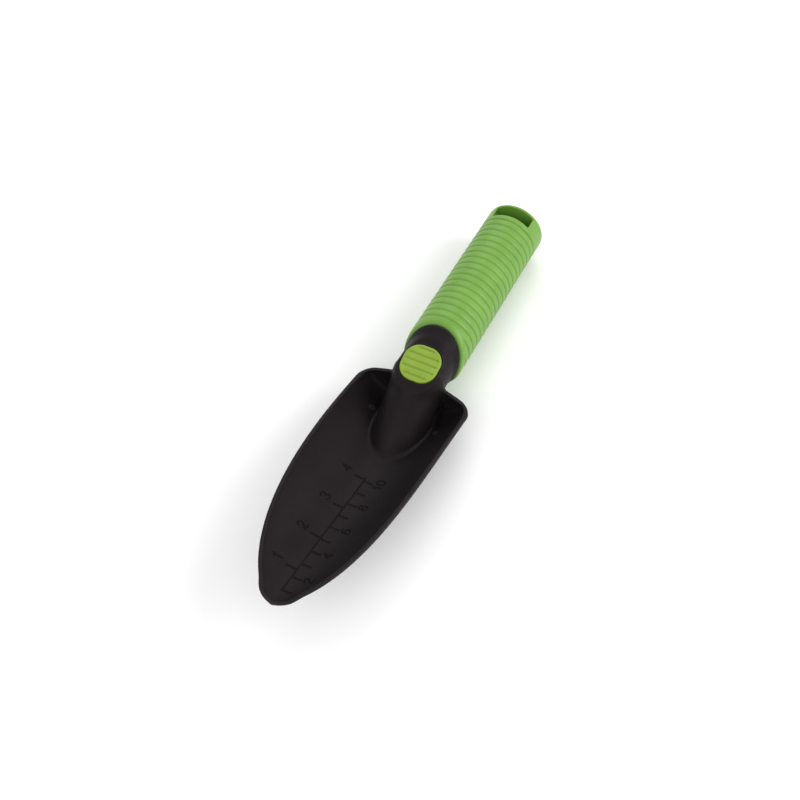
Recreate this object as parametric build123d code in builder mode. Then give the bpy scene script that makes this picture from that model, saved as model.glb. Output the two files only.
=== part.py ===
from build123d import *
import os
from math import asin, atan2, cos, degrees, hypot, radians, sin, sqrt, tan

# Hand trowel: a black moulded blade with its tang, a green ribbed grip sleeve and a lime thumb pad.
# Millimetres. While it is being shaped the trowel lies along Y: blade tip at Y = 0, end of the grip
# at Y = overall_length, axis of the grip at Z = 0, X across. At the end every piece is moved into
# the pose in which the trowel lies on a table: Z = 0 is the table, and the origin is under the
# middle of the trowel.

# ---- driving dimensions -------------------------------------------------------------------------
overall_length = 324.0
grip_diameter = 40.6

blade_length = 175.5           # tip to the middle of the rear edge
blade_width = 76.4
blade_wall = 2.5
tip_height = 4.8               # rim at the very tip, above the grip's axis
tip_radius = 11.5              # bluntness of the tip seen from above
rim_crest = (80.0, 7.4)        # a point of the rim in side view: distance from tip, height
rim_rear = (168.0, -6.0)
floor_tip = (0.0, 3.4)         # inner floor line in side view
floor_middle = (82.0, -12.7)
floor_heel = (160.0, -27.0)
heel_radius = 9.0              # inside radius where the floor turns up into the rear wall
rear_wall_lean = 14.0          # degrees that the rear wall leans back from upright
rear_bow = 4.0                 # how far the rear edge bulges
rear_corner_radius = 8.5

neck_radius = 17.1
neck_front = 158.5             # the neck starts here, round as a ball
hump_slope = 32.0              # degrees, ridge of the hump inside the dish
nose_slope = 53.0              # degrees, front of the hump
hump_shoulder = (161.0, 5.95)  # where the ridge meets the pad's slope: distance, height
hump_nose = (131.3, -12.6)     # where the ridge turns down into the nose
pad_slope = 18.0               # degrees, flat slope that carries the thumb pad
pocket_wall = 2.8              # wall left round the hollow under the hump

collar_radius = 19.0           # neck where it meets the sleeve
collar_full = 190.0            # distance at which the neck has that radius
mouth = 192.8                  # front edge of the sleeve at the height of its axis
mouth_rake = 0.62              # the mouth leans back: distance gained for each mm of height
mouth_low = -6.0               # below this height the mouth stands upright

sleeve_bore_radius = 16.9
bore_end = 308.0
groove_first = 199.0
groove_pitch = 5.75
groove_count = 20
groove_depth = 0.75
groove_width = 2.0
end_edge_radius = 1.5
slot_start = 312.5
slot_length = 9.4
slot_half_width = 13.0

tang_wall = 3.2
tang_end = 302.0
tab_distance = 286.0           # middle of the two snap tabs
tab_size = (10.0, 6.0)         # along the tang, and across
tab_height = 1.4

pad_middle = 176.5             # distance of the pad's middle from the tip
pad_length = 24.2
pad_width = 24.0
pad_corner_radius = 9.8
pad_thickness = 2.4
pad_proud = 0.9                # height of the pad above the slope
pad_gap = 0.3                  # narrow gap round the pad
pad_grooves = 5
pad_groove_pitch = 4.65
pad_groove_shift = 0.7         # the grooves lie this much towards the grip
peg_radius = 2.2
peg_depth = 4.0
peg_spacing = 12.0
peg_clearance = 0.1

grip_radius = grip_diameter / 2
half_blade = blade_width / 2


def circle_height(start, middle, end, distance):
    """Height, at a distance from the tip, of the flat arc through three points in side view."""
    (y1, z1), (y2, z2), (y3, z3) = start, middle, end
    first = (z2 - z1) / (y2 - y1)
    second = ((z3 - z2) / (y3 - y2) - first) / (y3 - y1)
    return z1 + first * (distance - y1) + second * (distance - y1) * (distance - y2)


def rim_height(distance):
    return circle_height((0, tip_height), rim_crest, rim_rear, distance)


def floor_height(distance):
    return circle_height(floor_tip, floor_middle, floor_heel, distance)


def half_width(distance):
    """Half the blade's width: a blunt tip that swells into nearly parallel sides."""
    share = max(0.0, 1.0 - distance / 168.0)
    ahead = min(distance, tip_radius)
    return max(half_blade * (1.0 - share**3.6) ** 0.645, sqrt(2 * tip_radius * ahead - ahead**2))


def heel_centre():
    """Centre (distance, height) of the round heel, and the fall of the floor where it starts."""
    heel_y, heel_z = floor_heel
    fall = atan2(floor_height(heel_y - 1) - heel_z, 1)
    return heel_y + heel_radius * sin(fall), heel_z + heel_radius * cos(fall), fall


def floor_path(offset):
    """Points (distance, height) of the floor line in side view, moved down and out by offset."""
    centre_y, centre_z, fall = heel_centre()
    radius = heel_radius + offset
    points = []
    runs = 24
    for run in range(runs):
        distance = -8 + (floor_heel[0] + 8) * run / runs
        points.append((distance, floor_height(distance) - offset))
    upright = radians(90 - rear_wall_lean)
    turns = 6
    for step in range(turns + 1):
        turn = -fall + (upright + fall) * step / turns
        points.append((centre_y + radius * sin(turn), centre_z - radius * cos(turn)))
    heel_y, heel_z = points[-1]
    rises = 6
    for step in range(1, rises + 1):
        rise = 30.0 * step / rises
        points.append((heel_y + rise * tan(radians(rear_wall_lean)), heel_z + rise))
    return points


def trough(offset):
    """What fills the dish, as a solid, with its underside moved out by offset.

    Without an offset it reaches the height of the rim at the inner edge of the rim's land.
    """
    reach = half_blade + 6
    across = [reach * step / 4 for step in range(-4, 5)]
    grid = []
    for distance, height in floor_path(offset):
        rim_from = min(max(distance, 0.0), rim_rear[0])
        depth = max(rim_height(rim_from) - height - offset, 0.0)
        width = half_width(max(rim_from, 12.0)) - (0 if offset else blade_wall)
        grid.append([(x, distance, height + depth * (x / width) ** 2) for x in across])
    with BuildPart() as filled:
        sheet = Face.make_surface_from_array_of_points(grid, tol=0.02, min_deg=3)
        extrude(sheet, amount=90, dir=(0, 0, 1))
    return filled.part


def side_point(distance, inset):
    """A point of the blade's side seen from above, moved square to the edge by inset."""
    swell = half_width(distance + 0.5) - half_width(distance - 0.5)
    stretch = hypot(1.0, swell)
    return half_width(distance) - inset / stretch, distance + inset * swell / stretch


def outline(inset):
    """The blade's outline seen from above, drawn in by inset, as an upright prism."""
    shoulder = 150.0
    half = half_blade - inset
    rear = blade_length - rear_bow - inset
    side = [side_point(distance, inset) for distance in (2.5, 7, 14, 26, 42, 62, 90, 120)]
    with BuildPart() as prism:
        with BuildSketch(Plane.XY.offset(-50)) as plan:
            with BuildLine():
                right = Spline((0, inset), *side, (half, shoulder), tangents=((1, 0), (0, 1)))
                mirror(right, about=Plane.YZ)
                Line((half, shoulder), (half, rear))
                Line((-half, shoulder), (-half, rear))
                ThreePointArc((half, rear), (0, blade_length - inset), (-half, rear))
            make_face()
            fillet(plan.vertices().group_by(Axis.Y)[-1], rear_corner_radius - inset)
        extrude(amount=100)
    return prism.part


def side_prism(points, half_depth):
    """A prism across the trowel whose side view is the polygon of (distance, height) points."""
    with BuildPart() as prism:
        with BuildSketch(Plane.YZ):
            Polygon(*points, align=None)
        extrude(amount=half_depth, both=True)
    return prism.part


def dish_space():
    """What the dish holds: everything above its floor and inside its rim's land."""
    with BuildPart() as space:
        add(outline(blade_wall))
        add(trough(0), mode=Mode.INTERSECT)
    return space.part


def above_rim():
    """Everything higher than the rim, which is one flat arc in side view."""
    start = (-5.0, rim_height(-5))
    end = (blade_length + 5, rim_height(blade_length + 5))
    with BuildPart() as space:
        with BuildSketch(Plane.YZ):
            with BuildLine():
                ThreePointArc(start, rim_crest, end)
                Polyline(end, (end[0], 60), (start[0], 60), start)
            make_face()
        extrude(amount=60, both=True)
    return space.part


def slope_height(distance):
    """Height of the flat slope that carries the thumb pad."""
    return hump_shoulder[1] + (distance - hump_shoulder[0]) * tan(radians(pad_slope))


def above_slope():
    """Everything over the flat slope on top of the neck, as far as the sleeve's mouth."""
    mouth_top = mouth + mouth_rake * grip_radius
    points = [(140, slope_height(140)), (mouth_top, slope_height(mouth_top)), (mouth_top, 60), (140, 60)]
    return side_prism(points, 40)


def behind_mouth():
    """Everything behind the joint between neck and sleeve: upright below, leaning back above."""
    far = overall_length + 20
    top = 60.0
    upright = mouth + mouth_rake * mouth_low
    leaning = mouth + mouth_rake * top
    points = [(upright, -top), (upright, mouth_low), (leaning, top), (far, top), (far, -top)]
    return side_prism(points, 60)


def hump(inset):
    """The tube that runs down from the neck into the dish, with a blunt nose, drawn in by inset."""
    shoulder_y, shoulder_z = hump_shoulder
    nose_y, nose_z = hump_nose
    slope = radians(hump_slope)
    radius = neck_radius - inset
    depth = neck_radius / cos(slope)
    back = 12.0
    along = hypot(shoulder_y - nose_y, shoulder_z - nose_z) + 30
    origin = (0, shoulder_y + back, shoulder_z - depth + back * tan(slope))
    steep = tan(radians(nose_slope))
    lead = inset / sin(radians(nose_slope))
    nose = [(nose_y + lead + 60 / steep, nose_z + 60), (nose_y + lead - 60 / steep, nose_z - 60),
            (nose_y - 90, nose_z - 60), (nose_y - 90, nose_z + 60)]
    with BuildPart() as tube:
        with BuildSketch(Plane(origin=origin, x_dir=(1, 0, 0), z_dir=(0, -cos(slope), -sin(slope)))):
            Circle(radius)
        extrude(amount=along)
        add(side_prism(nose, 60), mode=Mode.SUBTRACT)
        front = tube.edges().filter_by(GeomType.ELLIPSE).sort_by(Axis.Y)[0]
        fillet(front, 6 - inset)
    return tube.part


def under_hollow():
    """The hollow under the hump, open at the underside, without its stiffening ribs."""
    rear_y = floor_heel[0] + 4
    rib = 2.0
    with BuildPart() as hollow:
        add(hump(pocket_wall))
        with BuildSketch(Plane.XY.offset(-60)):
            with Locations((0, rear_y - 30)):
                Rectangle(2 * (neck_radius - pocket_wall - 1), 60)
        extrude(amount=100, mode=Mode.INTERSECT)
        roof = [(100, slope_height(100) - 4), (200, slope_height(200) - 4), (200, 60), (100, 60)]
        add(side_prism(roof, 60), mode=Mode.SUBTRACT)
        with Locations((0, rear_y - 30, -20)):
            Box(rib, 80, 80, mode=Mode.SUBTRACT)
        with Locations((0, rear_y - 12, -20), (0, rear_y - 24, -20)):
            Box(80, rib, 80, mode=Mode.SUBTRACT)
    return hollow.part


def pad_plane(lift):
    """The plane of the thumb pad's slope, raised by lift."""
    slope = radians(pad_slope)
    normal = Vector(0, -sin(slope), cos(slope))
    middle = Vector(0, pad_middle, slope_height(pad_middle))
    return Plane(origin=middle + normal * lift, x_dir=(1, 0, 0), z_dir=normal)


def collar_and_neck():
    """The round neck, domed in front, widening to the collar that meets the sleeve."""
    rear = mouth + mouth_rake * grip_radius + 1
    with BuildPart() as turned:
        with BuildSketch(Plane.YZ):
            with BuildLine():
                ball = CenterArc((neck_front + neck_radius, 0), neck_radius, 90, 90)
                Spline(ball @ 0, (collar_full, collar_radius), tangents=((1, 0), (1, 0)))
                Polyline((collar_full, collar_radius), (rear, collar_radius), (rear, 0), (neck_front, 0))
            make_face()
        revolve(axis=Axis.Y)
        add(behind_mouth(), mode=Mode.SUBTRACT)
    return turned.part


def tang():
    """The tube inside the sleeve, open at its far end, with a snap tab on each side."""
    root = collar_full - 5
    with BuildPart() as tube:
        with BuildSketch(Plane.XZ.offset(-root)):
            Circle(sleeve_bore_radius)
        extrude(amount=-(tang_end - root))
        chamfer(tube.edges().sort_by(Axis.Y)[-1], 1.2)
        length, width = tab_size
        with BuildSketch(Plane.XY.offset(-width / 2)) as tabs:
            foot = sleeve_bore_radius - 1
            rear = tab_distance + length / 2
            top = sleeve_bore_radius + tab_height
            Polygon((foot, rear - length), (top, rear), (foot, rear), align=None)
            mirror(about=Plane.YZ)
        extrude(amount=width)
    return tube.part


def hump_in_dish():
    """The hump, kept above the underside of the scoop."""
    with BuildPart() as kept:
        add(hump(0))
        add(trough(blade_wall), mode=Mode.INTERSECT)
    return kept.part


def pad_seat(grow, depth, lift):
    """The thumb pad's outline as a prism square to the slope, down from lift by depth."""
    with BuildPart() as seat:
        with BuildSketch(pad_plane(lift)):
            RectangleRounded(pad_width + 2 * grow, pad_length + 2 * grow, pad_corner_radius + grow)
        extrude(amount=-depth)
    return seat.part


def pad_pegs(grow):
    """The two round pegs under the thumb pad."""
    with BuildPart() as pegs:
        with BuildSketch(pad_plane(pad_proud - pad_thickness)):
            with GridLocations(0, peg_spacing, 1, 2):
                Circle(peg_radius + grow)
        extrude(amount=-peg_depth - grow)
    return pegs.part


# ---- blade: scoop, hump, neck, collar and tang --------------------------------------------------
with BuildPart() as blade:
    # the scoop
    add(outline(0))
    add(trough(blade_wall), mode=Mode.INTERSECT)
    add(dish_space(), mode=Mode.SUBTRACT)
    add(above_rim(), mode=Mode.SUBTRACT)
    # neck, hump and tang, with the flat slope for the thumb
    add(hump_in_dish())
    add(collar_and_neck())
    add(tang())
    add(above_slope(), mode=Mode.SUBTRACT)
    # the tang's long core, and the ribbed hollow under the hump
    core_length = tang_end - mouth - 2
    with BuildSketch(Plane.XZ.offset(-tang_end)):
        Circle(sleeve_bore_radius - tang_wall)
    extrude(amount=core_length, mode=Mode.SUBTRACT)
    add(under_hollow(), mode=Mode.SUBTRACT)
    # the seat of the thumb pad and the holes for its pegs
    add(pad_seat(pad_gap, 12, 12 + pad_proud - pad_thickness), mode=Mode.SUBTRACT)
    add(pad_pegs(peg_clearance), mode=Mode.SUBTRACT)


# ---- grip_sleeve: ribbed tube, closed behind, with the hanging slot -----------------------------
with BuildPart() as grip_sleeve:
    front = mouth + mouth_rake * mouth_low
    with BuildSketch(Plane.XZ.offset(-front)):
        Circle(grip_radius)
    extrude(amount=-(overall_length - front))
    fillet(grip_sleeve.edges().sort_by(Axis.Y)[-1], end_edge_radius)
    # grooves all round
    groove_radius = groove_depth / 2 + groove_width**2 / (8 * groove_depth)
    groove_height = grip_radius - groove_depth + groove_radius
    with BuildSketch(Plane.YZ):
        for number in range(groove_count):
            with Locations((groove_first + number * groove_pitch, groove_height)):
                Circle(groove_radius)
    revolve(axis=Axis.Y, mode=Mode.SUBTRACT)
    # bore for the tang, and the windows of its snap tabs
    with BuildSketch(Plane.XZ.offset(-front)):
        Circle(sleeve_bore_radius)
    extrude(amount=-(bore_end - front), mode=Mode.SUBTRACT)
    with Locations((0, tab_distance, 0)):
        Box(2 * (sleeve_bore_radius + tab_height + 0.3), tab_size[0] + 1, tab_size[1] + 0.6,
            mode=Mode.SUBTRACT)
    # hanging slot, right through from top to bottom
    with Locations((0, slot_start + slot_length / 2, 0)):
        Box(2 * slot_half_width, slot_length, 2 * grip_diameter, mode=Mode.SUBTRACT)
    # the raked mouth that meets the collar
    add(behind_mouth(), mode=Mode.INTERSECT)


# ---- thumb_pad: grooved oval pad on two pegs ----------------------------------------------------
with BuildPart() as thumb_pad:
    add(pad_seat(0, pad_thickness, pad_proud))
    fillet(thumb_pad.faces().filter_by(pad_plane(0)).sort_by(Axis.Z)[-1].edges(), 0.7)
    pad_top = pad_plane(pad_proud)
    groove_end = pad_top.origin - 15 * pad_top.x_dir + pad_groove_shift * pad_top.y_dir
    with BuildSketch(Plane(groove_end, x_dir=pad_top.y_dir, z_dir=pad_top.x_dir)):
        with GridLocations(pad_groove_pitch, 0, pad_grooves, 1):
            Circle(0.55)
    extrude(amount=30, mode=Mode.SUBTRACT)
    add(pad_pegs(0))


# ---- lay the trowel on the table ----------------------------------------------------------------
# It rests on the heel of the scoop and on the lower edge of the grip's end, both rounded.
heel_y, heel_z, fall = heel_centre()
end_y = overall_length - end_edge_radius
end_z = end_edge_radius - grip_radius
drop = (heel_radius + blade_wall) - end_edge_radius
tilt = atan2(end_z - heel_z, end_y - heel_y) + asin(drop / hypot(end_y - heel_y, end_z - heel_z))
lying = Location((0, 0, 0), (-degrees(tilt), 0, 0))
pieces = {"blade": blade, "grip_sleeve": grip_sleeve, "thumb_pad": thumb_pad}
for piece in pieces.values():
    piece.part.move(lying)
box = Compound([piece.part for piece in pieces.values()]).bounding_box()
onto_table = Location((0, -box.center().Y, -box.min.Z))

os.makedirs("parts", exist_ok=True)
for name, piece in pieces.items():
    piece.part.move(onto_table)
    piece.part.label = name
    export_step(piece.part, f"parts/{name}.step")
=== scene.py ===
import math
import bmesh
import bpy
import numpy as np
from mathutils import Matrix, Vector


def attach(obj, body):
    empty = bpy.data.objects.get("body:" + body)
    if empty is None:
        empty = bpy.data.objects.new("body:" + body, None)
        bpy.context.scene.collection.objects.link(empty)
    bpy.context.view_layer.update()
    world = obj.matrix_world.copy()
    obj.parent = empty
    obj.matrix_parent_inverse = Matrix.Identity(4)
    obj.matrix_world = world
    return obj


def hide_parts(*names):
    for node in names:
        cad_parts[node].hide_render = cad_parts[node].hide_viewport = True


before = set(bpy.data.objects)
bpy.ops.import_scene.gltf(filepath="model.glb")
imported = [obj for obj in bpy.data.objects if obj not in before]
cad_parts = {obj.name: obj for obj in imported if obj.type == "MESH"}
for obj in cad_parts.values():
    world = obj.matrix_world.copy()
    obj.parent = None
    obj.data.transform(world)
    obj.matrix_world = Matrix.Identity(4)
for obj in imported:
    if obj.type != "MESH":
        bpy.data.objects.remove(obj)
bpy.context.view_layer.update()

# Hand trowel: black scoop blade with an engraved depth scale, lime thumb pad, green ribbed sleeve.
# The shapes are worked out in the trowel's own frame, in millimetres: blade tip at y = 0, axis of
# the grip along y at z = 0, x across. lay_down() then tips them over the heel into the pose and
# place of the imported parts, in metres.

# ---- driving sizes, millimetres -----------------------------------------------------------------
overall_length = 324.0
grip_radius = 20.3
blade_length = 175.5             # from the tip to the middle of the rear edge
half_blade = 38.2                # half the blade's greatest width
rim_land = 2.4                   # width of the flat land along the rim
rim_step = 0.7                   # the dish starts this far below the land
wall_tip, wall_heel = 1.5, 2.5   # thickness of the blade at its two ends
wall_full = 60.0                 # from this place on the wall has its heel's thickness
outside_drop = 0.6               # the outside starts this and the wall's thickness below the rim
tip_height = 4.8                 # rim at the tip, above the axis of the grip
tip_radius = 13.5                # bluntness of the tip, seen from above
swell_end = 168.0                # the blade is widest from here on
swell_start, swell_fullness = 3.6, 0.645  # powers of the curve that swells from tip to sides
rim_crest = (80.0, 7.4)          # points of the rim in side view: place, height
rim_rear = (168.0, -6.0)
floor_tip = (0.0, 3.4)           # points of the floor in side view
floor_middle = (82.0, -12.7)
floor_heel = (160.0, -27.0)
heel_radius = 9.0                # where the floor turns up into the rear wall
rear_wall_slope = math.tan(math.radians(76))
rear_bow = 4.0                   # how far the rear edge bulges
rear_rise = 7.5                  # the rear edge rises this much towards the neck
rise_start, rise_end = 158.0, 174.0
rear_corner_radius = 8.5
dish_power = 2.2                 # how sharply the dish turns up into its sides
corner_softness = 3.0            # how gently the sides run into the rear wall
foot_start, foot_end = 150.0, 168.0
foot_least, foot_growth = 0.5, 3.5  # rounding inside the land, which grows towards the rear

# how softly the edges are rounded, and how softly two shapes run into each other
tip_blend, rim_edge, side_edge = 1.5, 0.9, 1.1
nose_blend, neck_blend, hump_foot_blend = 4.0, 4.0, 2.2
slope_edge, pocket_edge, recess_edge, mouth_edge = 1.2, 0.8, 0.6, 0.8
neck_allowance = 1.5             # the neck's blend may hang this far below the dish

neck_radius = 17.1
neck_front = 158.5               # the neck starts here, round as a ball
hump_slope = math.radians(32)    # ridge of the hump that runs down into the dish
hump_shoulder = (161.0, 5.95)    # where the ridge meets the flat slope under the pad
hump_rear = 172.0                # from here on there is only the neck
nose_slope = math.radians(53)    # front of the hump
nose_foot = (122.6, -21.6)       # where the nose of the hump meets the floor of the dish
nose_round = 16.0                # radius of the nose, seen from above
pad_slope = math.radians(18)     # flat slope on top of the neck
collar_radius, collar_length = 18.5, 6.0
mouth, mouth_rake = 192.8, 0.62  # joint with the sleeve: place on the axis, and how it leans back
mouth_low = -6.0                 # below this height the joint stands upright
mouth_gap = 0.4
lip_depth, lip_length = 1.2, 4.0
pocket_wall, pocket_roof = 2.8, 5.0  # plastic left round the ribbed hollow, and above it
pocket_rear = 164.0
rib_half = 1.0                   # half the thickness of the ribs
rib_places = (140.0, 152.0)      # where the cross ribs stand

pad_middle = 176.5
pad_half_width, pad_half_length, pad_corner = 12.2, 12.1, 9.8
pad_recess, pad_proud, pad_gap = 1.5, 0.9, 0.35  # depth below the slope, height over it, gap
pad_groove_pitch, pad_groove_count, pad_groove_shift = 4.65, 5, 0.7
pad_groove_radius, pad_groove_height = 0.75, 0.15  # the height of their middles over the pad
pad_border_start, pad_border_end = 0.8, 2.2        # the grooves run out between these
pad_edge, pad_groove_edge = 0.8, 0.4

bore_radius, bore_clearance = 16.9, 0.1  # the tang fills the bore but for this
tang_wall, tang_end = 3.2, 302.0
tab_middle, tab_half_length, tab_half_width, tab_height = 286.0, 5.0, 3.0, 1.4
tab_depth = 1.5                  # how deep the snap tabs are rooted in the tang
tang_overlap = 3.0               # the tang reaches this far into the neck
groove_first, groove_pitch, groove_count = 199.0, 5.75, 20
groove_depth, groove_width = 0.75, 2.0
band_crown = 0.45                # the bands between grooves bulge by this much
slot_start, slot_length, slot_half_width = 312.5, 9.4, 13.0
end_edge, slot_corner, slot_edge = 1.5, 1.0, 0.9
last_groove = groove_first + (groove_count - 1) * groove_pitch

tilt = math.radians(3.3268)      # how the trowel tips over on the table
place = (0.0, -162.2998, 38.9895)


def lay_down(points):
    """Points in the trowel's own frame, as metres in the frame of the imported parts."""
    x, y, z = points.T
    turned_y = y * math.cos(tilt) + z * math.sin(tilt)
    turned_z = z * math.cos(tilt) - y * math.sin(tilt)
    return np.stack([x + place[0], turned_y + place[1], turned_z + place[2]], axis=1) / 1000.0


# ---- camera -------------------------------------------------------------------------------------
camera_place = (0.18248, -0.31834, 0.55099)
camera_azimuth, camera_elevation, camera_roll = 30.875, 55.324, 4.438
camera_lens, sensor_width = 46.7, 36.0


def add_camera():
    """The photograph's view: from in front of the tip, to the right and well above."""
    camera = bpy.data.objects.new("camera", bpy.data.cameras.new("camera"))
    bpy.context.scene.collection.objects.link(camera)
    azimuth, elevation = math.radians(camera_azimuth), math.radians(camera_elevation)
    roll = math.radians(camera_roll)
    forward = Vector((-math.sin(azimuth) * math.cos(elevation),
                      math.cos(azimuth) * math.cos(elevation),
                      -math.sin(elevation)))
    level_right = forward.cross(Vector((0, 0, 1))).normalized()
    level_down = forward.cross(level_right)
    right = level_right * math.cos(roll) + level_down * math.sin(roll)
    up = right.cross(forward)
    turn = Matrix((right, up, -forward)).transposed()
    camera.matrix_world = Matrix.Translation(camera_place) @ turn.to_4x4()
    camera.data.lens = camera_lens
    camera.data.sensor_width = sensor_width
    camera.data.clip_start = 0.01
    bpy.context.scene.camera = camera


# ---- shapes as fields: negative inside, about the distance in millimetres -----------------------
def smooth_union(a, b, blend):
    """Either shape, with the corner between them filled over about the blend's width."""
    mix = np.clip(0.5 + 0.5 * (b - a) / blend, 0.0, 1.0)
    return b + (a - b) * mix - blend * mix * (1.0 - mix)


def smooth_cut(a, b, blend):
    """What is inside both shapes, with the edge between them rounded off."""
    return -smooth_union(-a, -b, blend)


def round_corner(a, b, radius):
    """The corner where two distances meet, rounded to a radius."""
    over_a, over_b = a + radius, b + radius
    outside = np.hypot(np.maximum(over_a, 0.0), np.maximum(over_b, 0.0))
    return np.minimum(np.maximum(over_a, over_b), 0.0) + outside - radius


def ease(value, start, end):
    """Rises smoothly from 0 at start to 1 at end."""
    share = np.clip((value - start) / (end - start), 0.0, 1.0)
    return share * share * (3.0 - 2.0 * share)


def arc_height(start, middle, end, y):
    """Height at y of the flat arc through three points in side view."""
    (y1, z1), (y2, z2), (y3, z3) = start, middle, end
    first = (z2 - z1) / (y2 - y1)
    second = ((z3 - z2) / (y3 - y2) - first) / (y3 - y1)
    return z1 + first * (y - y1) + second * (y - y1) * (y - y2)


def rim_height(x, y):
    """Height of the rim: a flat arc in side view, and an arch across the rear edge."""
    along = arc_height((0.0, tip_height), rim_crest, rim_rear, y)
    arch = 1.0 - np.minimum(np.abs(x) / half_blade, 1.0) ** 2
    return along + rear_rise * ease(y, rise_start, rise_end) * arch


def half_width(y):
    """Half the blade's width: a blunt tip that swells into nearly parallel sides."""
    left = np.clip(1.0 - np.maximum(y, 0.02) / swell_end, 0.0, 1.0)
    pointed = half_blade * (1.0 - left**swell_start) ** swell_fullness
    ahead = np.clip(y, 0.0, tip_radius)
    blunt = np.sqrt(2.0 * tip_radius * ahead - ahead**2)
    return smooth_cut(pointed, blunt, tip_blend)


def outline(x, y):
    """Distance outside the blade's outline, seen from above."""
    step = 0.05
    swell = (half_width(y + step) - half_width(y - step)) / (2 * step)
    side = (np.abs(x) - half_width(y)) / np.sqrt(1.0 + swell**2)
    side = np.where(y < 0.02, np.maximum(side, -y), side)
    rear = y - (blade_length - rear_bow * (x / half_blade) ** 2)
    return round_corner(side, rear, rear_corner_radius)


def floor_line(y, offset):
    """The floor in side view, lowered by offset: a flat arc, the round heel, the rear wall."""
    heel_y, heel_z = floor_heel
    fall = arc_height(floor_tip, floor_middle, floor_heel, heel_y - 1.0) - heel_z
    fall = math.atan(fall)
    centre_y = heel_y + heel_radius * math.sin(fall)
    centre_z = heel_z + heel_radius * math.cos(fall)
    radius = heel_radius + offset
    wall_turn = math.atan(rear_wall_slope)
    wall_y = centre_y + radius * math.sin(wall_turn)
    wall_z = centre_z - radius * math.cos(wall_turn)
    flat = arc_height(floor_tip, floor_middle, floor_heel, y) - offset
    heel = centre_z - np.sqrt(np.maximum(radius**2 - (y - centre_y) ** 2, 0.0))
    wall = wall_z + (y - wall_y) * rear_wall_slope
    return np.where(y < heel_y, flat, np.where(y < wall_y, heel, wall))


def dish_surface(x, y, offset):
    """Height of the inside (offset 0) or the outside of the dish."""
    wall = offset * (wall_tip + (wall_heel - wall_tip) * ease(y, 0.0, wall_full))
    line = floor_line(y, 0.0) if offset == 0 else floor_line(y, wall_heel) + (wall_heel - wall)
    edge = rim_height(x, y) - (rim_step if offset == 0 else wall + outside_drop)
    width = np.maximum(half_width(y) - (rim_land if offset == 0 else 0.0), 1.0)
    share = np.minimum(np.abs(x) / width, 1.3)
    drop = edge - line
    drop = 0.5 * (drop + np.sqrt(drop**2 + corner_softness**2))
    return line + drop * share**dish_power


def above_surface(x, y, z, offset):
    """Distance above the inside or the outside of the dish."""
    step = 0.1
    height = dish_surface(x, y, offset)
    rise_x = (dish_surface(x + step, y, offset) - dish_surface(x - step, y, offset)) / (2 * step)
    rise_y = (dish_surface(x, y + step, offset) - dish_surface(x, y - step, offset)) / (2 * step)
    return (z - height) / np.sqrt(1.0 + rise_x**2 + rise_y**2)


def slope_height(y):
    """Height of the flat slope on top of the neck, which carries the thumb pad."""
    return hump_shoulder[1] + (y - hump_shoulder[0]) * math.tan(pad_slope)


def hump(x, y, z):
    """The tube that runs from the neck down into the dish, with a blunt nose."""
    ridge_y, ridge_z = hump_shoulder
    axis_y = ridge_y + neck_radius * math.sin(hump_slope)
    axis_z = ridge_z - neck_radius * math.cos(hump_slope)
    over = (z - axis_z) * math.cos(hump_slope) - (y - axis_y) * math.sin(hump_slope)
    tube = np.hypot(x, over) - neck_radius
    front = nose_foot[0] + (z - nose_foot[1]) / math.tan(nose_slope) + x**2 / (2 * nose_round)
    nose = (front - y) * math.sin(nose_slope) / np.sqrt(1.0 + (x / nose_round) ** 2)
    return np.maximum(smooth_cut(tube, nose, nose_blend), y - hump_rear)


def neck(x, y, z):
    """The round neck, domed in front, widening a little where it enters the sleeve."""
    dome = np.minimum(y - (neck_front + neck_radius), 0.0)
    swell = (collar_radius - neck_radius) * ease(behind_mouth(y, z), -collar_length, -0.5)
    return np.sqrt(x**2 + z**2 + dome**2) - neck_radius - swell


def pad_frame(y, z):
    """Distance along the pad's slope from the pad's middle, and height over the slope."""
    along, up = y - pad_middle, z - slope_height(pad_middle)
    return (along * math.cos(pad_slope) + up * math.sin(pad_slope),
            up * math.cos(pad_slope) - along * math.sin(pad_slope))


def pad_outline(x, along):
    """Distance outside the pad's outline, in the plane of the slope."""
    return round_corner(np.abs(x) - pad_half_width, np.abs(along) - pad_half_length, pad_corner)


def behind_mouth(y, z):
    """Distance behind the joint between neck and sleeve."""
    return (y - mouth - mouth_rake * np.maximum(z, mouth_low)) / math.hypot(1.0, mouth_rake)


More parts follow.
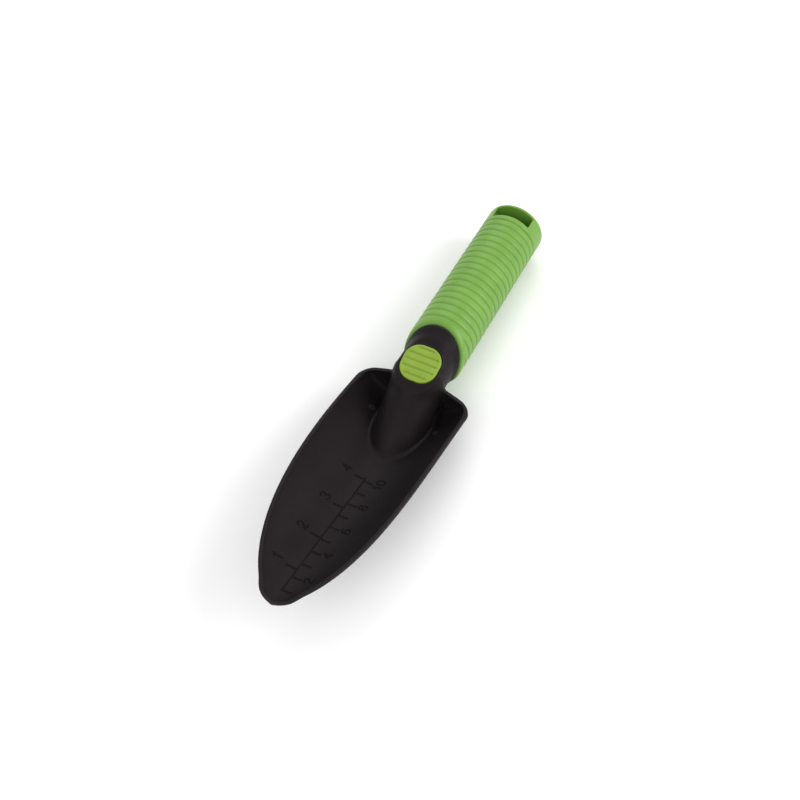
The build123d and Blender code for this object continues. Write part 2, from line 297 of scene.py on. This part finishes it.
def blade_field(x, y, z):
    """The blade's moulding as far as its joint with the sleeve."""
    inner = above_surface(x, y, z, 0)
    outer = above_surface(x, y, z, 1)
    edge = outline(x, y)
    over_rim = z - rim_height(x, y)
    # the scoop lies under the dish's inside or in the land along the rim, and above its outside
    foot_blend = foot_least + foot_growth * ease(y, foot_start, foot_end)
    scoop = np.maximum(smooth_union(inner, -rim_land - edge, foot_blend), -outer)
    scoop = smooth_cut(smooth_cut(scoop, over_rim, rim_edge), edge, side_edge)
    handle = smooth_union(np.maximum(hump(x, y, z), -outer), neck(x, y, z), neck_blend)
    handle = smooth_cut(handle, (z - slope_height(y)) * math.cos(pad_slope), slope_edge)
    body = smooth_union(scoop, handle, hump_foot_blend)
    # nothing hangs below the dish but the neck and its blend
    body = np.maximum(body, np.minimum(-outer, neck(x, y, z) - neck_allowance))
    # the hump is hollow from below, divided by ribs
    pocket = np.maximum(hump(x, y, z) + pocket_wall, z - slope_height(y) + pocket_roof)
    pocket = np.maximum(pocket, y - pocket_rear)
    for place_y in rib_places:
        pocket = np.maximum(pocket, rib_half - np.abs(y - place_y))
    pocket = np.maximum(pocket, rib_half - np.abs(x))
    body = smooth_cut(body, -pocket, pocket_edge)
    along, up = pad_frame(y, z)
    recess = np.maximum(pad_outline(x, along) - pad_gap, -up - pad_recess)
    body = smooth_cut(body, -recess, recess_edge)
    return smooth_cut(body, behind_mouth(y, z), mouth_edge)


def tang_field(x, y, z):
    """The tube of the blade's moulding that fills the sleeve, with its two snap tabs."""
    across = np.hypot(x, z)
    wall = np.abs(across - (bore_radius - tang_wall / 2)) - tang_wall / 2
    tube = round_corner(wall, y - tang_end, 1.0)
    root = np.maximum(across - bore_radius, y - mouth - 2.0)
    solid = np.maximum(np.minimum(tube, root), mouth - 6.0 - y)
    rise = tab_height * ease(y, tab_middle - tab_half_length, tab_middle + tab_half_length)
    wedge = np.abs(x) - bore_radius - rise
    tab = np.maximum(wedge, np.abs(z) - tab_half_width)
    tab = np.maximum(tab, np.abs(y - tab_middle) - tab_half_length)
    tab = np.maximum(tab, bore_radius - tab_depth - np.abs(x))
    solid = np.minimum(solid, tab)
    return np.maximum(solid, -behind_mouth(y, z) - tang_overlap)


def sleeve_radius(y):
    """Outside of the sleeve: crowned bands with a narrow groove between each two."""
    count = np.clip(np.round((y - groove_first) / groove_pitch), 0, groove_count - 1)
    away = np.abs(y - groove_first - count * groove_pitch)
    crown = band_crown * np.minimum(2.0 * (1.0 - away / groove_pitch) - 1.0, 1.0) ** 2
    crown = np.where(away < groove_pitch / 2, crown, 0.0)
    groove = groove_depth * (1.0 - ease(away, 0.2, groove_width / 2 + 0.2))
    return grip_radius - np.maximum(crown, groove)


def sleeve_end_field(x, y, z):
    """The solid end of the sleeve, from the last groove back, with the hanging slot."""
    side = np.hypot(x, z) - sleeve_radius(y)
    block = np.maximum(round_corner(side, y - overall_length, end_edge), last_groove - y)
    middle = slot_start + slot_length / 2
    slot = round_corner(np.abs(x) - slot_half_width, np.abs(y - middle) - slot_length / 2, slot_corner)
    return smooth_cut(block, -slot, slot_edge)


def pad_field(x, y, z):
    """The thumb pad: a rounded border round cross grooves."""
    along, up = pad_frame(y, z)
    edge = pad_outline(x, along)
    pad = round_corner(edge, up - pad_proud, pad_edge)
    along = along - pad_groove_shift
    outermost = pad_groove_count // 2
    number = np.clip(np.round(along / pad_groove_pitch), -outermost, outermost)
    radius = pad_groove_radius * ease(-edge, pad_border_start, pad_border_end)
    over = up - pad_proud - pad_groove_height
    groove = np.hypot(along - number * pad_groove_pitch, over) - radius
    pad = smooth_cut(pad, -groove, pad_groove_edge)
    return np.maximum(pad, -up - pad_recess)


# ---- the engraved depth scale -------------------------------------------------------------------
mark_depth = 0.35
pin_mark, pin_mark_radius, pin_mark_height = (21.9, 152.6), 1.9, 0.35  # left by ejector pins
spine_half_width, tick_half_width, digit_half_width = 0.32, 0.5, 0.45
digit_height, digit_width, digit_gap = 5.2, 3.2, 1.2
scale_start, spine_end, last_centimetre, last_inch = 0.6, 104.0, 10, 4
centimetre_tick, inch_tick = 6.0, -6.6                 # reach across from the spine
centimetre_digits, inch_digits = (10.2, 0.8), (-12.8, 1.8)  # across, and past their tick
# Strokes of each digit in a box 2 wide and 4 high, written with the pen up between lists.
DIGITS = {
    "0": [[(0.6, 0), (1.4, 0), (2, 0.8), (2, 3.2), (1.4, 4), (0.6, 4), (0, 3.2), (0, 0.8), (0.6, 0)]],
    "1": [[(0.3, 3.1), (1.1, 4), (1.1, 0)]],
    "2": [[(0, 3.1), (0.6, 4), (1.5, 4), (2, 3.2), (1.8, 2.4), (0, 0), (2, 0)]],
    "3": [[(0, 3.4), (0.6, 4), (1.5, 4), (2, 3.3), (1.8, 2.5), (1, 2.2), (1.8, 1.8), (2, 0.9),
           (1.5, 0), (0.6, 0), (0, 0.6)]],
    "4": [[(1.5, 0), (1.5, 4), (0, 1.2), (2.1, 1.2)]],
    "6": [[(1.8, 3.6), (1.2, 4), (0.6, 3.8), (0, 2.4), (0, 0.8), (0.6, 0), (1.4, 0), (2, 0.7),
           (2, 1.5), (1.4, 2.2), (0.6, 2.2), (0, 1.5)]],
    "8": [[(1, 2.2), (0.2, 2.8), (0.2, 3.5), (0.7, 4), (1.3, 4), (1.8, 3.5), (1.8, 2.8), (1, 2.2),
           (0, 1.5), (0, 0.6), (0.6, 0), (1.4, 0), (2, 0.6), (2, 1.5), (1, 2.2)]],
}


def digit_strokes(text, x, y):
    """Line segments of a number centred at (x, y), its top towards the blade's left side."""
    segments = []
    length = len(text) * digit_width + (len(text) - 1) * digit_gap
    for place_in_text, letter in enumerate(text):
        start = y - length / 2 + place_in_text * (digit_width + digit_gap)
        for line in DIGITS[letter]:
            placed = [(x - (v / 4 - 0.5) * digit_height, start + u / 2 * digit_width)
                      for u, v in line]
            segments += [(first, second, digit_half_width)
                         for first, second in zip(placed[:-1], placed[1:])]
    return segments


def scale_strokes():
    """Every line of the scale: a spine, centimetres to its right and inches to its left."""
    strokes = [((0.0, scale_start + 10.0), (0.0, spine_end), spine_half_width)]
    for centimetre in range(1, last_centimetre + 1):
        y = scale_start + 10.0 * centimetre
        strokes.append(((0.0, y), (centimetre_tick, y), tick_half_width))
        if centimetre % 2 == 0:
            across, past = centimetre_digits
            strokes += digit_strokes(str(centimetre), across, y + past)
    for inch in range(1, last_inch + 1):
        y = scale_start + 25.4 * inch
        strokes.append(((0.0, y), (inch_tick, y), tick_half_width))
        across, past = inch_digits
        strokes += digit_strokes(str(inch), across, y + past)
    return strokes


def mark_distance(x, y, strokes):
    """Distance, seen from above, outside the nearest line of the scale."""
    nearest = np.full(x.shape, 9.0)
    for (x1, y1), (x2, y2), half in strokes:
        run_x, run_y = x2 - x1, y2 - y1
        share = ((x - x1) * run_x + (y - y1) * run_y) / (run_x**2 + run_y**2)
        share = np.clip(share, 0.0, 1.0)
        away = np.hypot(x - x1 - share * run_x, y - y1 - share * run_y) - half
        nearest = np.minimum(nearest, away)
    return nearest


def near_marks(x, y, z):
    """True for points on the floor of the dish near the scale or near the two pin marks."""
    beside = (np.abs(x) < 17.0) & (y > 8.0) & (y < 110.0)
    round_pins = np.hypot(np.abs(x) - pin_mark[0], y - pin_mark[1]) < pin_mark_radius + 1.5
    return (beside | round_pins) & (np.abs(z - dish_surface(x, y, 0)) < 0.4)


def sink_marks(points):
    """Presses the scale into the floor of the dish, and raises the two pin marks.

    Returns the points, and for each point 1 on the scale, -1 on a pin mark and 0 elsewhere.
    """
    chosen = near_marks(*points.T)
    x, y, _ = points[chosen].T
    cut = 1.0 - ease(mark_distance(x, y, scale_strokes()), -0.15, 0.3)
    pin_distance = np.hypot(np.abs(x) - pin_mark[0], y - pin_mark[1]) - pin_mark_radius
    pins = 1.0 - ease(pin_distance, -0.2, 0.2)
    points[chosen, 2] -= mark_depth * cut - pin_mark_height * pins
    mark = np.zeros(len(points))
    mark[chosen] = cut - pins
    return points, mark


# ---- meshes from fields -------------------------------------------------------------------------
def surface_net(field, low, high, step):
    """Points and quads of a closed mesh on the surface of a field, on a grid of cubes."""
    axes = [lo + step * np.arange(math.ceil((hi - lo) / step) + 1) for lo, hi in zip(low, high)]
    shape = tuple(len(axis) for axis in axes)
    grid = np.meshgrid(*axes, indexing="ij", sparse=True)
    value = np.broadcast_to(field(*grid), shape)
    inside = value < 0
    count = np.zeros([length - 1 for length in shape], np.int8)
    corners = [(i, j, k) for i in (0, 1) for j in (0, 1) for k in (0, 1)]
    for i, j, k in corners:
        count += inside[i:shape[0] - 1 + i, j:shape[1] - 1 + j, k:shape[2] - 1 + k]
    cells = np.stack(np.nonzero((count > 0) & (count < 8)), axis=1)
    index = np.full(count.shape, -1)
    index[tuple(cells.T)] = np.arange(len(cells))
    total = np.zeros((len(cells), 3))
    hits = np.zeros(len(cells))
    for axis in range(3):
        along = np.eye(3, dtype=int)[axis]
        for corner in corners:
            if corner[axis]:
                continue
            start = cells + np.array(corner)
            v0 = value[tuple(start.T)]
            v1 = value[tuple((start + along).T)]
            crossed = (v0 < 0) != (v1 < 0)
            share = np.where(crossed, v0 / np.where(crossed, v0 - v1, 1.0), 0.0)
            total += crossed[:, None] * (start + share[:, None] * along)
            hits += crossed
    points = np.array(low) + step * total / hits[:, None]
    quads = []
    for axis in range(3):
        second, third = (axis + 1) % 3, (axis + 2) % 3
        ahead = np.moveaxis(inside, (axis, second, third), (0, 1, 2))
        numbers = np.moveaxis(index, (axis, second, third), (0, 1, 2))
        change = ahead[:-1, 1:-1, 1:-1] != ahead[1:, 1:-1, 1:-1]
        i, j, k = np.nonzero(change)
        around = [numbers[i, j + dj, k + dk] for dj, dk in ((0, 0), (1, 0), (1, 1), (0, 1))]
        leaving = ahead[i, j + 1, k + 1]
        ring = np.stack(around, axis=1)
        quads.append(np.where(leaving[:, None], ring, ring[:, ::-1]))
    return points, np.concatenate(quads)


def slope_of(field, points, step=0.04):
    """The direction in which a field grows at each point, and how fast."""
    slopes = []
    for axis in range(3):
        shift = np.zeros(3)
        shift[axis] = step
        slopes.append(field(*(points + shift).T) - field(*(points - shift).T))
    return np.stack(slopes, axis=1) / (2 * step)


def settle(points, field, rounds=3, reach=0.4):
    """Moves points onto the field's surface along its slope, at most reach in each round."""
    for _ in range(rounds):
        value = field(*points.T)
        slope = slope_of(field, points)
        move = slope * (value / np.maximum((slope**2).sum(axis=1), 0.05))[:, None]
        length = np.linalg.norm(move, axis=1)
        points = points - move * np.minimum(1.0, reach / np.maximum(length, 1e-9))[:, None]
    return points


def bend_of(field, points, step=0.7):
    """How sharply the surface bends at each point: above 0 on edges, below 0 in grooves."""
    total = -6.0 * field(*points.T)
    for axis in range(3):
        shift = np.zeros(3)
        shift[axis] = step
        total = total + field(*(points + shift).T) + field(*(points - shift).T)
    return total / step**2


def refine(points, quads, chosen, cuts):
    """Divides the chosen quads into smaller ones, so that small shapes can be cut into them."""
    grid = bmesh.new()
    corners = [grid.verts.new(point) for point in points]
    faces = [grid.faces.new([corners[number] for number in quad]) for quad in quads]
    edges = {edge for face, wanted in zip(faces, chosen) if wanted for edge in face.edges}
    bmesh.ops.subdivide_edges(grid, edges=list(edges), cuts=cuts, use_grid_fill=True)
    grid.verts.index_update()
    finer = np.array([vertex.co[:] for vertex in grid.verts])
    faces = [[vertex.index for vertex in face.verts] for face in grid.faces]
    grid.free()
    return finer, faces


def make_object(name, points, faces, material, **values):
    """A smooth mesh object from points in the trowel's own frame, with a value per point."""
    mesh = bpy.data.meshes.new(name)
    mesh.from_pydata(lay_down(points), [], [tuple(face) for face in faces])
    mesh.validate()
    mesh.polygons.foreach_set("use_smooth", np.ones(len(mesh.polygons), bool))
    for value_name, value in values.items():
        attribute = mesh.attributes.new(value_name, "FLOAT", "POINT")
        attribute.data.foreach_set("value", value.astype(np.float32))
    mesh.materials.append(material)
    piece = bpy.data.objects.new(name, mesh)
    bpy.context.scene.collection.objects.link(piece)
    return piece


# ---- the pieces ---------------------------------------------------------------------------------
blade_step, tang_step, sleeve_step, pad_step = 0.65, 0.8, 0.5, 0.35  # cubes of the grids


def add_blade(material):
    """The blade as far as its joint with the sleeve, finer where marks are cut into it."""
    low, high = (-39.5, -1.5, -32.0), (39.5, 208.0, 22.0)
    points, quads = surface_net(blade_field, low, high, blade_step)
    points = settle(points, blade_field)
    middles = points[quads].mean(axis=1)
    points, faces = refine(points, quads, near_marks(*middles.T), 2)
    points = settle(points, blade_field, 2)
    # bend drives the painted highlights on the blade's edges and in its creases
    bend = bend_of(blade_field, points)
    points, mark = sink_marks(points)
    return make_object("blade_skin", points, faces, material, bend=bend, mark=mark)


def add_tang(material):
    """The tang inside the sleeve, which belongs to the blade's moulding."""
    low, high = (-20.5, 183.0, -20.5), (20.5, 304.0, 20.5)
    points, quads = surface_net(tang_field, low, high, tang_step)
    points = settle(points, tang_field)
    return make_object("blade_tang", points, quads, material, bend=bend_of(tang_field, points))


def sleeve_rows():
    """The sleeve's section as rows of (radius, share of the mouth's rake, place).

    They run over the mouth's lip, along the outside to the last groove, and back in the bore. A
    row without a radius lies on the ribbed outside.
    """
    straight_from = 208.0
    bore = bore_radius + bore_clearance
    rows = []
    for radius in np.linspace(bore + 0.4, grip_radius - lip_depth, 5):
        rows.append((radius, 1.0, mouth + mouth_gap))
    for turn in np.linspace(0.0, math.pi / 2, 9)[1:]:
        rows.append((grip_radius - lip_depth * (1.0 - math.sin(turn)), 1.0,
                     mouth + mouth_gap + lip_length * (1.0 - math.cos(turn))))
    mouth_rows = 110
    for number in range(1, mouth_rows + 1):
        share = number / mouth_rows
        lip_end = mouth + mouth_gap + lip_length
        rows.append((None, 1.0 - share, lip_end + share * (straight_from - lip_end)))
    # close rows in and beside each groove, wide ones over the band behind it
    offsets = (0.0, 0.2, 0.4, 0.6, 0.8, 1.0, 1.3, 2.0, 2.9, 3.75, 4.45, 4.75, 4.95, 5.15, 5.35, 5.55)
    places = [groove_first + groove_pitch * groove + offset
              for groove in range(groove_count) for offset in offsets]
    for place_y in places:
        if straight_from < place_y <= last_groove:
            rows.append((None, 0.0, place_y))
    for radius in (18.6, 17.7, bore):
        rows.append((radius, 0.0, last_groove))
    for share in np.linspace(0.0, 1.0, 24)[1:]:
        rows.append((bore, share, last_groove + share * (mouth + mouth_gap + 0.4 - last_groove)))
    return rows


def add_sleeve(material):
    """The sleeve: a ribbed tube in rings, closed behind by the block with the hanging slot."""
    around = 160
    angle = 2.0 * math.pi * np.arange(around) / around
    rings = []
    for radius, rake_share, place_y in sleeve_rows():
        height = (grip_radius if radius is None else radius) * np.sin(angle)
        y = place_y + rake_share * mouth_rake * np.maximum(height, mouth_low)
        ring_radius = sleeve_radius(y) if radius is None else np.full(around, radius)
        rings.append(np.stack([ring_radius * np.cos(angle), y, ring_radius * np.sin(angle)], axis=1))
    count = len(rings)
    tube = np.concatenate(rings)
    quads = []
    for row in range(count):
        start, after = row * around, (row + 1) % count * around
        for number in range(around):
            following = (number + 1) % around
            quads.append((start + number, start + following, after + following, after + number))
    low, high = (-21.5, last_groove - 1.0, -21.5), (21.5, overall_length + 1.0, 21.5)
    block, block_quads = surface_net(sleeve_end_field, low, high, sleeve_step)
    block = settle(block, sleeve_end_field)
    points = np.concatenate([tube, block])
    faces = quads + [tuple(quad) for quad in block_quads + len(tube)]
    # how deep each point lies below the grip's radius, which drives the painted shade in the grooves
    # and the slot
    depth = grip_radius - np.hypot(points[:, 0], points[:, 2])
    hollow = np.clip(depth / groove_depth, 0.0, 1.0)
    return make_object("grip_sleeve_skin", points, faces, material, hollow=hollow)


def add_pad(material):
    """The thumb pad, which lies in its recess on the slope."""
    top = slope_height(pad_middle)
    low, high = (-13.5, pad_middle - 15.0, top - 8.0), (13.5, pad_middle + 15.0, top + 8.0)
    points, quads = surface_net(pad_field, low, high, pad_step)
    points = settle(points, pad_field)
    return make_object("thumb_pad_skin", points, quads, material, bend=bend_of(pad_field, points, 0.5))


# ---- materials ----------------------------------------------------------------------------------
def new_material(name):
    """A material, its nodes and links, its shader, and the place on the piece in metres."""
    material = bpy.data.materials.new(name)
    material.use_nodes = True
    nodes = material.node_tree.nodes
    shader = nodes["Principled BSDF"]
    place_node = nodes.new("ShaderNodeTexCoord")
    return material, nodes, material.node_tree.links, shader, place_node.outputs["Object"]


def noise(nodes, links, place_socket, scale, detail=3.0, roughness=0.55):
    """Noise whose size is given in marks per metre."""
    node = nodes.new("ShaderNodeTexNoise")
    node.inputs["Scale"].default_value = scale
    node.inputs["Detail"].default_value = detail
    node.inputs["Roughness"].default_value = roughness
    links.new(place_socket, node.inputs["Vector"])
    return node.outputs["Fac"]


def remap(nodes, links, socket, low, high, to_low, to_high):
    """Turns the range low to high into to_low to to_high, and holds the ends."""
    node = nodes.new("ShaderNodeMapRange")
    node.inputs["From Min"].default_value = low
    node.inputs["From Max"].default_value = high
    node.inputs["To Min"].default_value = to_low
    node.inputs["To Max"].default_value = to_high
    links.new(socket, node.inputs["Value"])
    return node.outputs["Result"]


def mix_colour(nodes, links, share, first, second):
    """From the first colour at share 0 to the second at share 1; a colour may be a socket."""
    node = nodes.new("ShaderNodeMix")
    node.data_type = "RGBA"
    links.new(share, node.inputs["Factor"])
    for colour, socket in ((first, node.inputs["A"]), (second, node.inputs["B"])):
        if isinstance(colour, tuple):
            socket.default_value = colour
        else:
            links.new(colour, socket)
    return node.outputs["Result"]


def point_value(nodes, name):
    """A value that the mesh carries for each point."""
    node = nodes.new("ShaderNodeAttribute")
    node.attribute_name = name
    return node.outputs["Fac"]


def bump(nodes, links, shader, height, distance):
    """Fine relief on the surface: distance is its depth in metres."""
    node = nodes.new("ShaderNodeBump")
    node.inputs["Distance"].default_value = distance
    links.new(height, node.inputs["Height"])
    links.new(node.outputs["Normal"], shader.inputs["Normal"])


def screen_colour(red, green, blue):
    """A colour from its 0-255 screen values."""
    linear = []
    for value in (red, green, blue):
        share = value / 255.0
        linear.append(share / 12.92 if share <= 0.04045 else ((share + 0.055) / 1.055) ** 2.4)
    return (*linear, 1.0)


def black_plastic():
    """Black moulded plastic: fine grain, faint clouds, painted highlights on edges, in creases and on
    pin marks, and painted shade in the engraved scale.
    """
    material, nodes, links, shader, spot = new_material("black_moulded_plastic")
    cloud = noise(nodes, links, spot, 45.0, 4.0)
    grain = noise(nodes, links, spot, 3800.0, 2.0)
    scuff = noise(nodes, links, spot, 260.0, 6.0, 0.7)
    base = mix_colour(nodes, links, remap(nodes, links, cloud, 0.35, 0.65, 0.0, 1.0),
                      screen_colour(20, 17, 18), screen_colour(24, 21, 22))
    # painted highlight: edges and rims lightened by how sharply they bend, standing in for the light
    # they catch
    edge = remap(nodes, links, point_value(nodes, "bend"), 0.3, 1.2, 0.0, 0.3)
    base = mix_colour(nodes, links, edge, base, screen_colour(62, 58, 59))
    # painted shade: the engraved scale darkened almost to black, standing in for the shade in its
    # grooves
    mark = remap(nodes, links, point_value(nodes, "mark"), 0.0, 1.0, 0.0, 0.6)
    base = mix_colour(nodes, links, mark, base, screen_colour(6, 5, 5))
    # painted highlight: concave fillets and creases lightened, standing in for the bright arc of light
    # along the hump's foot
    crease_highlight = remap(nodes, links, point_value(nodes, "bend"), -0.8, -0.25, 0.22, 0.0)
    base = mix_colour(nodes, links, crease_highlight, base, screen_colour(62, 58, 59))
    # painted glint: the raised pin marks lightened, standing in for the light they catch
    pin = remap(nodes, links, point_value(nodes, "mark"), -1.0, 0.0, 0.3, 0.0)
    base = mix_colour(nodes, links, pin, base, screen_colour(62, 58, 59))
    links.new(base, shader.inputs["Base Color"])
    rough = remap(nodes, links, scuff, 0.3, 0.75, 0.45, 0.58)
    links.new(rough, shader.inputs["Roughness"])
    gloss = remap(nodes, links, point_value(nodes, "mark"), 0.0, 1.0, 0.15, 0.09)
    links.new(gloss, shader.inputs["Specular IOR Level"])
    shader.inputs["Specular Tint"].default_value = (1.0, 0.86, 0.9, 1.0)
    bump(nodes, links, shader, grain, 0.000018)
    return material


def green_plastic():
    """Green moulded plastic, with painted shade in its grooves and inside the hanging slot."""
    material, nodes, links, shader, spot = new_material("green_moulded_plastic")
    cloud = noise(nodes, links, spot, 60.0, 4.0)
    grain = noise(nodes, links, spot, 3200.0, 2.0)
    base = mix_colour(nodes, links, remap(nodes, links, cloud, 0.35, 0.65, 0.0, 1.0),
                      screen_colour(104, 152, 52), screen_colour(111, 159, 58))
    # painted shade: grooves and the inside of the hanging slot darkened by their depth
    hollow = remap(nodes, links, point_value(nodes, "hollow"), 0.3, 1.0, 0.0, 0.2)
    base = mix_colour(nodes, links, hollow, base, screen_colour(64, 100, 36))
    links.new(base, shader.inputs["Base Color"])
    links.new(remap(nodes, links, cloud, 0.3, 0.7, 0.36, 0.46), shader.inputs["Roughness"])
    bump(nodes, links, shader, grain, 0.00002)
    return material


def lime_rubber():
    """Soft lime rubber with a fine matte grain, and painted shade in its grooves."""
    material, nodes, links, shader, spot = new_material("lime_soft_rubber")
    cloud = noise(nodes, links, spot, 160.0, 4.0)
    grain = noise(nodes, links, spot, 4200.0, 2.0)
    base = mix_colour(nodes, links, remap(nodes, links, cloud, 0.35, 0.65, 0.0, 1.0),
                      screen_colour(126, 156, 38), screen_colour(134, 162, 46))
    # painted shade: the pad's cross grooves darkened where the surface bends inwards
    groove = remap(nodes, links, point_value(nodes, "bend"), -1.2, -0.2, 0.4, 0.0)
    base = mix_colour(nodes, links, groove, base, screen_colour(92, 116, 34))
    links.new(base, shader.inputs["Base Color"])
    links.new(remap(nodes, links, cloud, 0.3, 0.7, 0.5, 0.6), shader.inputs["Roughness"])
    bump(nodes, links, shader, grain, 0.00003)
    return material


def pale_floor():
    """A plain white studio floor, faintly uneven."""
    material, nodes, links, shader, spot = new_material("pale_floor")
    cloud = noise(nodes, links, spot, 6.0, 3.0)
    base = mix_colour(nodes, links, cloud,
                      screen_colour(250, 250, 250), screen_colour(254, 254, 254))
    links.new(base, shader.inputs["Base Color"])
    shader.inputs["Roughness"].default_value = 0.7
    return material


# ---- floor and light ----------------------------------------------------------------------------
def add_floor():
    """The floor at height 0, staged so that it stays out of the part."""
    mesh = bpy.data.meshes.new("floor")
    half = 3.0
    corners = [(-half, -half, 0), (half, -half, 0), (half, half, 0), (-half, half, 0)]
    mesh.from_pydata(corners, [], [(0, 1, 2, 3)])
    mesh.materials.append(pale_floor())
    floor = bpy.data.objects.new("floor", mesh)
    bpy.context.scene.collection.objects.link(floor)


def add_light(name, spot, size, power):
    """A round soft light that faces the trowel."""
    lamp = bpy.data.lights.new(name, "AREA")
    lamp.shape = "DISK"
    lamp.size = size
    lamp.energy = power
    light = bpy.data.objects.new(name, lamp)
    bpy.context.scene.collection.objects.link(light)
    light.location = spot
    light.rotation_euler = (-Vector(spot)).to_track_quat("-Z", "Y").to_euler()


def add_lights():
    """Even white light all round, a little stronger from the right, from behind and in front."""
    add_light("key_light", (1.15, 0.45, 0.95), 0.9, 9.5)
    add_light("back_light", (-0.45, 1.1, 1.0), 1.0, 3.0)
    add_light("front_light", (-0.2, -1.2, 1.2), 1.2, 5.0)
    world = bpy.data.worlds.new("studio")
    world.use_nodes = True
    world.node_tree.nodes["Background"].inputs["Color"].default_value = (1.0, 1.0, 1.0, 1.0)
    world.node_tree.nodes["Background"].inputs["Strength"].default_value = 0.82
    bpy.context.scene.world = world
    bpy.context.scene.view_settings.view_transform = "Standard"


# ---- the scene ----------------------------------------------------------------------------------
add_camera()
black = black_plastic()
green = green_plastic()
# each piece, the CAD node that it replaces, and its finish
pieces = [(add_blade(black), "blade", "black_plastic"),
          (add_tang(black), "blade", "black_plastic"),
          (add_sleeve(green), "grip_sleeve", "green_plastic"),
          (add_pad(lime_rubber()), "thumb_pad", "lime_rubber")]
for piece, node, finish in pieces:
    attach(piece, "root")
    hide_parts(node)
add_floor()
add_lights()
